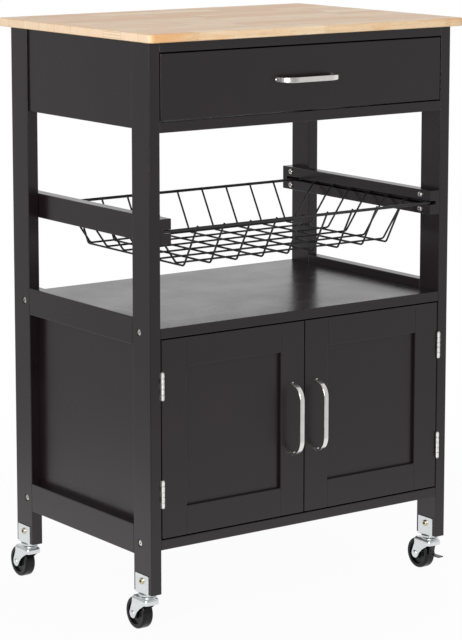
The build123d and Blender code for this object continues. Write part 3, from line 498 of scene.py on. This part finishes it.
class CART_OT_boards(bpy.types.Operator):
    """Paints the boards, panels and dowels that keep their CAD shapes"""

    bl_idname = "cart.boards"
    bl_label = "Paint Boards"

    def execute(self, context):
        colours = context.scene.cart_colours
        stile_width = 43
        low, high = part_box("right_door_frame")
        rail = ((low.x + high.x) / 2 / MM, (high.x - low.x) / 2 / MM - stile_width)
        # Grain lines about 1.8 mm apart and 120 mm long, along each board
        thin, long, even = 1.8, 120, 60
        along_x = satin_black_paint(colours, "satin_black_paint_along_x", (long, thin, thin))
        along_y = satin_black_paint(colours, "satin_black_paint_along_y", (thin, long, thin))
        along_z = satin_black_paint(colours, "satin_black_paint_along_z", (thin, thin, long))
        on_doors = satin_black_paint(colours, "satin_black_paint_on_doors", (thin, thin, long),
                                     sheen=(0.3, 0.4), rails=rail)
        on_panels = satin_black_paint(colours, "satin_black_paint_on_panels", (even, even, even),
                                      sheen=(0.24, 0.34))
        finishes = {
            along_x: ("front_top_rail", "rear_top_rail", "drawer_rail", "back_apron", "drawer_front",
                      "shelf", "cabinet_floor", "drawer_back", "door_stop"),
            along_y: ("left_side_apron", "right_side_apron", "left_shelf_rail", "right_shelf_rail",
                      "left_bottom_rail", "right_bottom_rail", "left_basket_runner", "right_basket_runner",
                      "drawer_sides", "drawer_runners"),
            along_z: ("front_left_leg", "front_right_leg", "rear_left_leg", "rear_right_leg"),
            on_doors: ("left_door_frame", "right_door_frame", "left_door_panel", "right_door_panel"),
            on_panels: ("side_panels", "cabinet_back_panel", "drawer_bottom"),
            raw_beech(): ("rail_dowels",),
            bright_zinc(): ("worktop_screws", "drawer_handle_screws", "left_door_handle_screws",
                            "right_door_handle_screws"),
        }
        for material, names in finishes.items():
            for name in names:
                for slot in frame["nodes"][name].material_slots:
                    slot.material = material
        return {"FINISHED"}


class CART_OT_worktop(bpy.types.Operator):
    """Builds the jointed wooden worktop with its rounded corners and edges"""

    bl_idname = "cart.worktop"
    bl_label = "Build Worktop"

    def execute(self, context):
        sizes = context.scene.cart_sizes
        low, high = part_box("worktop")
        bm = bmesh.new()
        box_between(bm, low, high)
        upright = [edge for edge in bm.edges if spans(edge, 2) > sizes.worktop_edge]
        round_edges(bm, upright, sizes.worktop_corner, 12)
        outer = [edge for edge in bm.edges if edge.calc_face_angle(0) > CORNER]
        round_edges(bm, outer, sizes.worktop_edge, 4)
        wood = finger_jointed_rubberwood(sizes, context.scene.cart_colours)
        finished_piece(bm, "worktop_board", ["worktop"], wood)
        return {"FINISHED"}


class CART_OT_basket(bpy.types.Operator):
    """Builds the wire basket: its rim and two layers of bent wires"""

    bl_idname = "cart.basket"
    bl_label = "Build Basket"

    def execute(self, context):
        sizes = context.scene.cart_sizes
        coating = black_coating("black_powder_coat", context.scene.cart_colours.wire, 0.5, 0.28, 0.42)
        thin = sizes.wire_radius
        long_count, cross_count = 9, 6
        low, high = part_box("basket_rim")
        thick = (high.z - low.z) / 2
        left, right = low.x + thick, high.x - thick
        front, back = low.y + thick, high.y - thick
        rim_z = (low.z + high.z) / 2
        bm = bmesh.new()
        start = (0, back, rim_z)
        round_wire(bm, [start, (left, back, rim_z), (left, front, rim_z), (right, front, rim_z),
                        (right, back, rim_z), start], thick, sizes.rim_bend, 16, 9)
        ends = [face for face in bm.faces if len(face.verts) > 4]
        bmesh.ops.delete(bm, geom=ends, context="FACES_ONLY")
        finished_piece(bm, "basket_rim_wire", ["basket_rim"], coating)

        low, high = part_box("basket_long_wires")
        floor_z = low.z + thin
        outer_x = high.x - thin
        # The wires lean out by 34 in a height of 60, and pass inside the rim by 4.4
        lean, stand_off, tip = 34 / 60, 4.425 * MM, 2.5 * MM
        rise = rim_z - floor_z
        bm = bmesh.new()
        for number in range(long_count):
            x = outer_x * (2 * number / (long_count - 1) - 1)
            round_wire(bm, [
                (x, front + stand_off - lean * tip, rim_z + tip),
                (x, front + stand_off + lean * rise, floor_z),
                (x, back - stand_off - lean * rise, floor_z),
                (x, back - stand_off + lean * tip, rim_z + tip),
            ], thin, sizes.wire_bend)
        finished_piece(bm, "basket_lengthwise_wires", ["basket_long_wires"], coating)

        low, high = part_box("basket_cross_wires")
        floor_z = low.z + thin
        first, last = low.y + thin, high.y - thin
        # Each wire climbs from the floor over 40 mm, and turns level 12.5 mm before its tip
        shoulder = high.x - 12.45 * MM
        foot = shoulder - 40 * MM
        bm = bmesh.new()
        for number in range(cross_count):
            y = first + (last - first) * number / (cross_count - 1)
            round_wire(bm, [
                (-high.x, y, rim_z), (-shoulder, y, rim_z), (-foot, y, floor_z),
                (foot, y, floor_z), (shoulder, y, rim_z), (high.x, y, rim_z),
            ], thin, sizes.wire_bend)
        finished_piece(bm, "basket_crosswise_wires", ["basket_cross_wires"], coating)
        return {"FINISHED"}


class CART_OT_handles(bpy.types.Operator):
    """Builds the flat bow handles of the drawer and the doors"""

    bl_idname = "cart.handles"
    bl_label = "Build Handles"

    def execute(self, context):
        sizes = context.scene.cart_sizes
        colour = context.scene.cart_colours.nickel
        edge_rounding = 1.2 * MM
        foot_disc = in_mm((0, 0), (2.6, 0), (2.6, 0.6), (2.2, 1), (0, 1))
        # Brushed along the handle: scratches 30 mm long and 0.4 mm apart
        scratch_length, scratch_pitch = 30, 0.4
        for node, along in (("drawer_handle", RIGHT), ("left_door_handle", UP), ("right_door_handle", UP)):
            along = Vector(along)
            low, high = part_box(node)
            across = along.cross(OUT_FRONT)
            size = high - low
            width = abs(size.dot(across))
            half = (abs(size.dot(along)) - sizes.band_thickness) / 2
            reach = size.y - sizes.band_thickness / 2
            middle = Vector(((low.x + high.x) / 2, high.y, (low.z + high.z) / 2))
            feet = [middle - along * half, middle + along * half]
            bow = [feet[0], feet[0] + OUT_FRONT * reach, feet[1] + OUT_FRONT * reach, feet[1]]
            bm = bmesh.new()
            flat_band(bm, bow, across, width, sizes.band_thickness, edge_rounding,
                      reach - sizes.band_stub, 16)
            for foot in feet:
                turned(bm, foot_disc, foot, OUT_FRONT, 24)
            scratch = tuple(scratch_length if value else scratch_pitch for value in along)
            name = "satin_nickel_" + ("across" if along.x else "upright")
            nickel = plated_steel(name, colour, scratch, 0.16, 0.26)
            finished_piece(bm, node + "_bow", [node], nickel)
        return {"FINISHED"}


class CART_OT_hinges(bpy.types.Operator):
    """Builds the small butt hinges: leaves, knuckles and pins"""

    bl_idname = "cart.hinges"
    bl_label = "Build Hinges"

    def execute(self, context):
        radius = context.scene.cart_sizes.knuckle_radius
        bright = plated_steel("bright_nickel_hinge", linear("#FAF9F6"), (1.5, 1.5, 6), 0.34, 0.5)
        _, pins_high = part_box("hinge_pins")
        frame_low, frame_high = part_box("hinge_frame_leaves")
        height, leaf_depth, plate = 40 * MM, 14 * MM, 0.8 * MM
        pin_head, bore, clearance, gap, knuckles = 1.9 * MM, 1.25 * MM, 0.3 * MM, 0.2 * MM, 5
        leg_plate, door_plate = frame_high.x - plate, frame_high.x - 1.8 * MM
        axis_x = pins_high.x - pin_head
        axis_y = frame_low.y + radius
        front = axis_y + radius + clearance
        pitch = (height + gap) / knuckles
        tall = pitch - gap
        starts = (frame_low.z, frame_high.z - height)
        chamfer_out, chamfer_up = 0.8 * MM, 0.6 * MM
        knuckle = [(bore, 0), (radius - chamfer_out, 0), (radius, chamfer_up), (radius, tall - chamfer_up),
                   (radius - chamfer_out, tall), (bore, tall), (bore, 0)]
        pin = mirrored(in_mm((1.2, 20.1), (1.9, 20.1), (1.9, 20.4), (1.3, 20.9), (0, 20.9)))

        def leaf(bm, side, plate_x, first):
            """One leaf at each height: its plate in the gap, and every second knuckle."""
            left, right = sorted((side * plate_x, side * (plate_x + plate)))
            for start in starts:
                box_between(bm, (left, front, start), (right, front + leaf_depth, start + height))
                for number in range(first, knuckles, 2):
                    z = start + number * pitch
                    box_between(bm, (left, axis_y, z), (right, front, z + tall))
                    turned(bm, knuckle, (side * axis_x, axis_y, z), UP, 28)

        bm = bmesh.new()
        pins = bmesh.new()
        for side in (-1, 1):
            leaf(bm, side, leg_plate, 0)
            for start in starts:
                turned(pins, pin, (side * axis_x, axis_y, start + height / 2), UP, 24)
        finished_piece(bm, "hinge_leaves_on_legs", ["hinge_frame_leaves"], bright)
        for side, name in ((-1, "left"), (1, "right")):
            node = name + "_door_hinge_leaves"
            bm = bmesh.new()
            leaf(bm, side, door_plate, 1)
            finished_piece(bm, name + "_hinge_leaves_on_door", [node], bright)
        finished_piece(pins, "hinge_pins_with_heads", ["hinge_pins"], bright)
        return {"FINISHED"}


class CART_OT_fasteners(bpy.types.Operator):
    """Builds the heads of the frame bolts and of the runner screws"""

    bl_idname = "cart.fasteners"
    bl_label = "Build Fasteners"

    def execute(self, context):
        bright = bright_zinc()
        # A bolt with a domed head, from its shank's end to its top, and its barrel nut
        head_radius, hex_radius, hex_depth = 5.2, 2.4 * MM, 4 * MM
        bolt = in_mm((3, -45), (3, -2.6), (head_radius, -2.6), (head_radius, -1.5), (4.9, -0.8),
                     (4.3, -0.3), (3.4, 0))
        hexagon = ("hex", hex_radius)
        nut, nut_x = mirrored(in_mm((5, 6), (0, 6))), 233.6 * MM
        low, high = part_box("frame_bolts")
        rows = (low.y + head_radius * MM, high.y - head_radius * MM)
        levels = (middle_of(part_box("cabinet_floor")).z, middle_of(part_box("shelf")).z)
        bm = bmesh.new()
        for side in (-1, 1):
            for y in rows:
                for z in levels:
                    fastener_head(bm, (side * high.x, y, z), (side, 0, 0), bolt, hexagon, hex_depth)
                    turned(bm, nut, (side * nut_x, y, z), UP, 20)
        finished_piece(bm, "frame_bolts_and_nuts", ["frame_bolts"], bright)

        screw = (4.4 * MM, 2.4 * MM)
        half_spacing, from_end, from_outside = 11 * MM, 14 * MM, 8.5 * MM
        runner_low, runner_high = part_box("right_basket_runner")
        slide_low, slide_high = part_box("drawer_runners")
        legs = (middle_of(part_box("front_right_leg")).y, middle_of(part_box("rear_right_leg")).y)
        runner_z = (runner_low.z + runner_high.z) / 2
        slide_z = (slide_low.z + slide_high.z) / 2
        slide_x = slide_high.x - from_outside
        bm = bmesh.new()
        for side in (-1, 1):
            for y in legs:
                for z in (runner_z - half_spacing, runner_z + half_spacing):
                    pan_head(bm, (side * runner_low.x, y, z), (-side, 0, 0), *screw)
            for y in (slide_low.y + from_end, slide_high.y - from_end):
                pan_head(bm, (side * slide_x, y, slide_z), (-side, 0, 0), *screw)
        finished_piece(bm, "runner_screw_heads", ["runner_screws"], bright)
        return {"FINISHED"}


class CART_OT_casters(bpy.types.Operator):
    """Builds the casters: brackets, screws, forks, wheels and brake levers"""

    bl_idname = "cart.casters"
    bl_label = "Build Casters"

    wheel_radius, trail = 24, 22

    def execute(self, context):
        colours = context.scene.cart_colours
        zinc = plated_steel("blue_zinc_plate", colours.zinc, (5, 5, 5), 0.22, 0.4)
        rubber = black_coating("black_moulded_nylon", colours.wheel, 0.8, 0.16, 0.28, 0.25)
        screws = plated_steel("yellow_zinc_screw", linear("#CFC4AC"), (2, 2, 2), 0.12, 0.24)
        lever = black_coating("black_coated_lever", colours.wire, 0.6, 0.26, 0.4)
        places = []
        for row in ("front", "rear"):
            for side in ("left", "right"):
                leg_low, leg_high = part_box(f"{row}_{side}_leg")
                places.append((f"{row}_{side}", (leg_low + leg_high) / 2, leg_low.z))
        self.brackets(places, zinc, screws)
        for corner, middle, _ in places:
            axle = Vector((middle.x, middle.y + self.trail * MM, self.wheel_radius * MM))
            self.fork(corner, middle.x, middle.y, axle, zinc)
            self.wheel(corner, axle, rubber)
            if corner.endswith("right"):
                self.brake(corner, axle, lever)
        return {"FINISHED"}

    def brackets(self, places, zinc, screws):
        """Brackets bent around the legs' feet, each with a bearing cup, a kingpin and two screws."""
        low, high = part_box("caster_brackets")
        sheet, half, width, bend, tip_rounding = 1.6 * MM, 9.8 * MM, 34 * MM, 1.3 * MM, 2 * MM
        screw, screw_height = (5 * MM, 2.6 * MM), 18.5 * MM
        cup = in_mm((0, 0), (14, 0), (14, -1.4), (12.8, -2.8), (10.6, -3.8), (0, -3.8))
        bm = bmesh.new()
        heads = bmesh.new()
        for _, middle, foot in places:
            x, y = middle.x, middle.y
            web = foot - sheet / 2
            strap = [(x - half, y, high.z), (x - half, y, web), (x + half, y, web), (x + half, y, high.z)]
            flat_band(bm, strap, (0, 1, 0), width, sheet, 0, bend, 5)
            tips = [edge for edge in bm.edges if lies_at(edge, 2, high.z) and spans(edge, 0) > MM
                    and abs(edge.verts[0].co.x - x) < 2 * half]
            round_edges(bm, tips, tip_rounding, 5)
            turned(bm, cup, (x, y, foot - sheet), UP)
            pin_top = (foot - low.z) / MM - 0.3
            kingpin = in_mm((0, 0), (5, 0), (6, 0.6), (6, 1), (4, 1), (4, pin_top), (0, pin_top))
            turned(bm, kingpin, (x, y, low.z), UP, 24)
            for side in (-1, 1):
                outside = (x + side * (half + sheet / 2), y, foot + screw_height)
                pan_head(heads, outside, (side, 0, 0), *screw)
        finished_piece(bm, "caster_foot_brackets", ["caster_brackets"], zinc)
        finished_piece(heads, "caster_screw_heads", ["caster_screws"], screws)

    def fork(self, corner, x, y, axle, zinc):
        """A fork pressed from one sheet: a top plate, a lip, and cheeks that sweep back to the axle."""
        bm = bmesh.new()
        sheet, plate_z, lip_z, inner = 2 * MM, 49.7 * MM, 41.7 * MM, 11 * MM
        front, back = y - 11 * MM, y + 23 * MM
        box_between(bm, (x - inner, front, lip_z), (x + inner, back, plate_z))
        open_faces = [face for face in bm.faces if face.calc_center_median().y > back - TOUCH
                      or face.calc_center_median().z < lip_z + TOUCH]
        bmesh.ops.delete(bm, geom=open_faces, context="FACES_ONLY")
        corners = [edge for edge in bm.edges if not edge.is_boundary and spans(edge, 2) > MM]
        round_edges(bm, corners, 4 * MM, 6)
        shoulders = [edge for edge in bm.edges if not edge.is_boundary and lies_at(edge, 2, plate_z)]
        round_edges(bm, shoulders, 3 * MM, 5)
        # Height, front edge and rear edge of the cheek, in millimetres from the swivel axis
        rows = ((41.0, -6.8, 23.4), (38.5, -3.0, 24.2), (35.5, 1.9, 25.4), (32.0, 6.4, 26.8),
                (28.5, 10.1, 28.2), (25.5, 12.6, 29.2), (22.5, 14.3, 29.3), (20.0, 15.8, 28.3),
                (18.0, 17.6, 26.4), (16.7, 20.3, 23.7))
        for cheek_x in (x - inner, x + inner):
            edge = [edge for edge in bm.edges if lies_at(edge, 0, cheek_x) and lies_at(edge, 2, lip_z)]
            for height, near, far in rows:
                ends = verts_in(bmesh.ops.extrude_edge_only(bm, edges=edge)["geom"])
                ends.sort(key=lambda vert: vert.co.y)
                for end, reach in zip(ends, (near, far)):
                    goal = Vector((cheek_x, y + reach * MM, height * MM))
                    bmesh.ops.translate(bm, verts=[end], vec=goal - end.co)
                edge = edges_of(ends)
        # The shell's normals point inwards, so that the sheet thickens outwards
        bmesh.ops.remove_doubles(bm, verts=bm.verts, dist=MERGE)
        bmesh.ops.recalc_face_normals(bm, faces=bm.faces)
        top = max(bm.faces, key=lambda face: face.calc_center_median().z)
        if top.normal.z > 0:
            bmesh.ops.reverse_faces(bm, faces=bm.faces)
        bmesh.ops.solidify(bm, geom=bm.faces[:], thickness=sheet)
        rims = [edge for edge in bm.edges if edge.calc_face_angle(0) > CORNER]
        round_edges(bm, rims, 0.7 * MM, 3)
        collar = in_mm((4.08, 0), (12.5, 0), (12.3, 0.8), (11.2, 1.5), (9.6, 1.6), (4.08, 1.6), (4.08, 0))
        turned(bm, collar, (x, y, plate_z + sheet), UP)
        rivet = mirrored(in_mm((3, 13.1), (5, 13.1), (4.2, 14.1), (2.6, 14.6), (0, 14.7)))
        turned(bm, rivet, axle, RIGHT, 28)
        if corner.endswith("right"):
            brake_pin = mirrored(in_mm((1.6, 12.7), (1.3, 13), (0, 13)))
            turned(bm, brake_pin, (x, y - 6.97 * MM, 43.47 * MM), RIGHT, 16)
        finished_piece(bm, corner + "_pressed_fork", [corner + "_caster_fork"], zinc)

    def wheel(self, corner, axle, rubber):
        """A moulded wheel: rounded tread, dished sides and a hub."""
        bm = bmesh.new()
        half = in_mm((23.8, 0.3), (24.0, 0.6), (24.0, 5.8), (23.6, 7.2), (22.7, 8.1), (21.4, 8.5),
                     (18.0, 8.5), (17.2, 7.9), (16.6, 5.0), (15.6, 4.5), (9.4, 4.5), (8.4, 5.4),
                     (8.0, 9.8), (7.4, 10.4), (3.08, 10.4))
        outline = mirrored(half)
        turned(bm, outline + outline[:1], axle, RIGHT, 64)
        finished_piece(bm, corner + "_moulded_wheel", [corner + "_wheel"], rubber)

    def brake(self, corner, axle, coating):
        """A brake lever bent from strip, with a rolled eye on its pin."""
        bm = bmesh.new()
        node = corner + "_brake_lever"
        low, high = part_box(node)
        width = high.x - low.x
        strip, edge_rounding, bend, tab_rise = 1.6 * MM, 0.3 * MM, 2 * MM, 0.6 * MM

        def beside_rim(standoff, angle):
            """A place outside the wheel's rim."""
            around, reach = math.radians(angle), (self.wheel_radius + standoff) * MM
            return axle + Vector((0, math.cos(around), math.sin(around))) * reach

        eye, shoe, heel = beside_rim(10.9, 146.1), beside_rim(3.4, 165), beside_rim(3.6, 176)
        tab = Vector((axle.x, low.y, heel.z + tab_rise))
        flat_band(bm, [eye, shoe, heel, tab], RIGHT, width, strip, edge_rounding, bend, 5)
        end = width / 2 / MM
        roll = mirrored(in_mm((2.8, end - 0.3), (2.5, end), (1.65, end)))
        turned(bm, roll + roll[:1], eye, RIGHT, 24)
        finished_piece(bm, corner + "_brake_strip", [node], coating)


class CART_OT_stage(bpy.types.Operator):
    """Sets the floor, the studio light and the camera"""

    bl_idname = "cart.stage"
    bl_label = "Set Stage"

    def execute(self, context):
        scene = context.scene
        scene.view_settings.view_transform = "Standard"
        bm = bmesh.new()
        bmesh.ops.create_grid(bm, x_segments=1, y_segments=1, size=4)
        mesh = bpy.data.meshes.new("studio_floor")
        bm.to_mesh(mesh)
        bm.free()
        floor = bpy.data.objects.new("studio_floor", mesh)
        scene.collection.objects.link(floor)
        mesh.materials.append(self.floor_paper())
        self.white_room(scene)
        # Name, place and power of each soft lamp, and whether it shows in reflections
        lamp_size, lamp_aim = 1.8, Vector((0, 0, 0.5))
        for name, place, power, mirrors in (
            ("key_softbox", (-2.5, -2.0, 1.35), 74, True),
            ("fill_softbox", (2.6, 1.6, 1.6), 18, False),
        ):
            lamp = bpy.data.lights.new(name, "AREA")
            lamp.size = lamp_size
            lamp.energy = power
            holder = bpy.data.objects.new(name, lamp)
            scene.collection.objects.link(holder)
            holder.location = place
            holder.visible_glossy = mirrors
            holder.rotation_euler = (lamp_aim - Vector(place)).to_track_quat("-Z", "Y").to_euler()
        # Focal length and height of the photo in pixels, and the camera's pitch and turn in radians
        focal_px, photo_px, sensor, pitch, turn = 2527.27, 640, 36, 0.15242, 0.62457
        lens = bpy.data.cameras.new("photo_camera")
        lens.sensor_fit = "AUTO"
        lens.sensor_width = sensor
        lens.lens = focal_px / photo_px * sensor
        lens.shift_y = -0.15
        lens.dof.use_dof = False
        camera = bpy.data.objects.new("photo_camera", lens)
        scene.collection.objects.link(camera)
        camera.location = Vector((-2238.28, -3103.84, 1141.89)) * MM
        camera.rotation_euler = (math.pi / 2 - pitch, 0, -turn)
        scene.camera = camera
        return {"FINISHED"}

    def floor_paper(self):
        """White background paper: it keeps a soft shadow near the cart and fades into the white room."""
        material, tree, shader, place = new_material("white_background_paper")
        fill(tree, shader, {"Base Color": linear("#F4F4F4"), "Roughness": 0.8})
        ray = add(tree, "ShaderNodeLightPath").outputs
        seen = calc(tree, "MAXIMUM", ray["Is Camera Ray"], ray["Is Glossy Ray"])
        lift = calc(tree, "MULTIPLY", seen, 0.95)
        white = add(tree, "ShaderNodeEmission", {"Color": (1, 1, 1, 1), "Strength": 1.0})
        paper = add(tree, "ShaderNodeMixShader", {0: lift, 1: shader, 2: white})
        distance = add(tree, "ShaderNodeVectorMath", {0: place}, operation="LENGTH").outputs["Value"]
        fade = ranged(tree, distance, 500.0, 1500.0, interpolation_type="SMOOTHSTEP")
        clear = add(tree, "ShaderNodeBsdfTransparent")
        faded = add(tree, "ShaderNodeMixShader", {0: fade, 1: paper, 2: clear})
        output = [node for node in tree.nodes if node.type == "OUTPUT_MATERIAL"][0]
        fill(tree, output, {"Surface": faded})
        return material

    def white_room(self, scene):
        """A studio: full white to the eye, dimmer as light, and with a bright back side in reflections."""
        world = bpy.data.worlds.new("white_room")
        scene.world = world
        world.use_nodes = True
        tree = world.node_tree
        tree.nodes.clear()
        ray = add(tree, "ShaderNodeLightPath").outputs
        way = add(tree, "ShaderNodeTexCoord").outputs["Generated"]
        to_backdrop = (0.9, 0.43, 0.0)
        backward = add(tree, "ShaderNodeVectorMath", {0: way, 1: to_backdrop}, operation="DOT_PRODUCT")
        reflected = ranged(tree, backward.outputs["Value"], -0.4, 0.88, 0.43, 1.0)
        strength = add(tree, "ShaderNodeMix", {0: ray["Is Glossy Ray"], 2: 0.48, 3: reflected})
        seen = calc(tree, "MAXIMUM", ray["Is Camera Ray"], ray["Is Transmission Ray"])
        strength = add(tree, "ShaderNodeMix", {0: seen, 2: strength, 3: 1.0})
        white = add(tree, "ShaderNodeBackground", {"Color": (1, 1, 1, 1), "Strength": strength})
        add(tree, "ShaderNodeOutputWorld", {"Surface": white})


class CART_PT_panel(bpy.types.Panel):
    """Sizes, colours and building steps of the cart"""

    bl_idname = "CART_PT_panel"
    bl_label = "Kitchen Cart"
    bl_space_type = "VIEW_3D"
    bl_region_type = "UI"
    bl_category = "Cart"

    def draw(self, context):
        for group in (context.scene.cart_sizes, context.scene.cart_colours):
            for name in group.__annotations__:
                self.layout.prop(group, name)
        for step in STEPS:
            self.layout.operator(step.bl_idname)


STEPS = (CART_OT_boards, CART_OT_worktop, CART_OT_basket, CART_OT_handles, CART_OT_hinges,
         CART_OT_fasteners, CART_OT_casters, CART_OT_stage)
CLASSES = (CartSizes, CartColours, *STEPS, CART_PT_panel)


def register():
    for item in CLASSES:
        bpy.utils.register_class(item)
    bpy.types.Scene.cart_sizes = PointerProperty(type=CartSizes)
    bpy.types.Scene.cart_colours = PointerProperty(type=CartColours)


def unregister():
    del bpy.types.Scene.cart_colours
    del bpy.types.Scene.cart_sizes
    for item in reversed(CLASSES):
        bpy.utils.unregister_class(item)


def main():
    register()
    bpy.ops.cart.boards()
    bpy.ops.cart.worktop()
    bpy.ops.cart.basket()
    bpy.ops.cart.handles()
    bpy.ops.cart.hinges()
    bpy.ops.cart.fasteners()
    bpy.ops.cart.casters()
    bpy.ops.cart.stage()


if __name__ == "__main__":
    main()
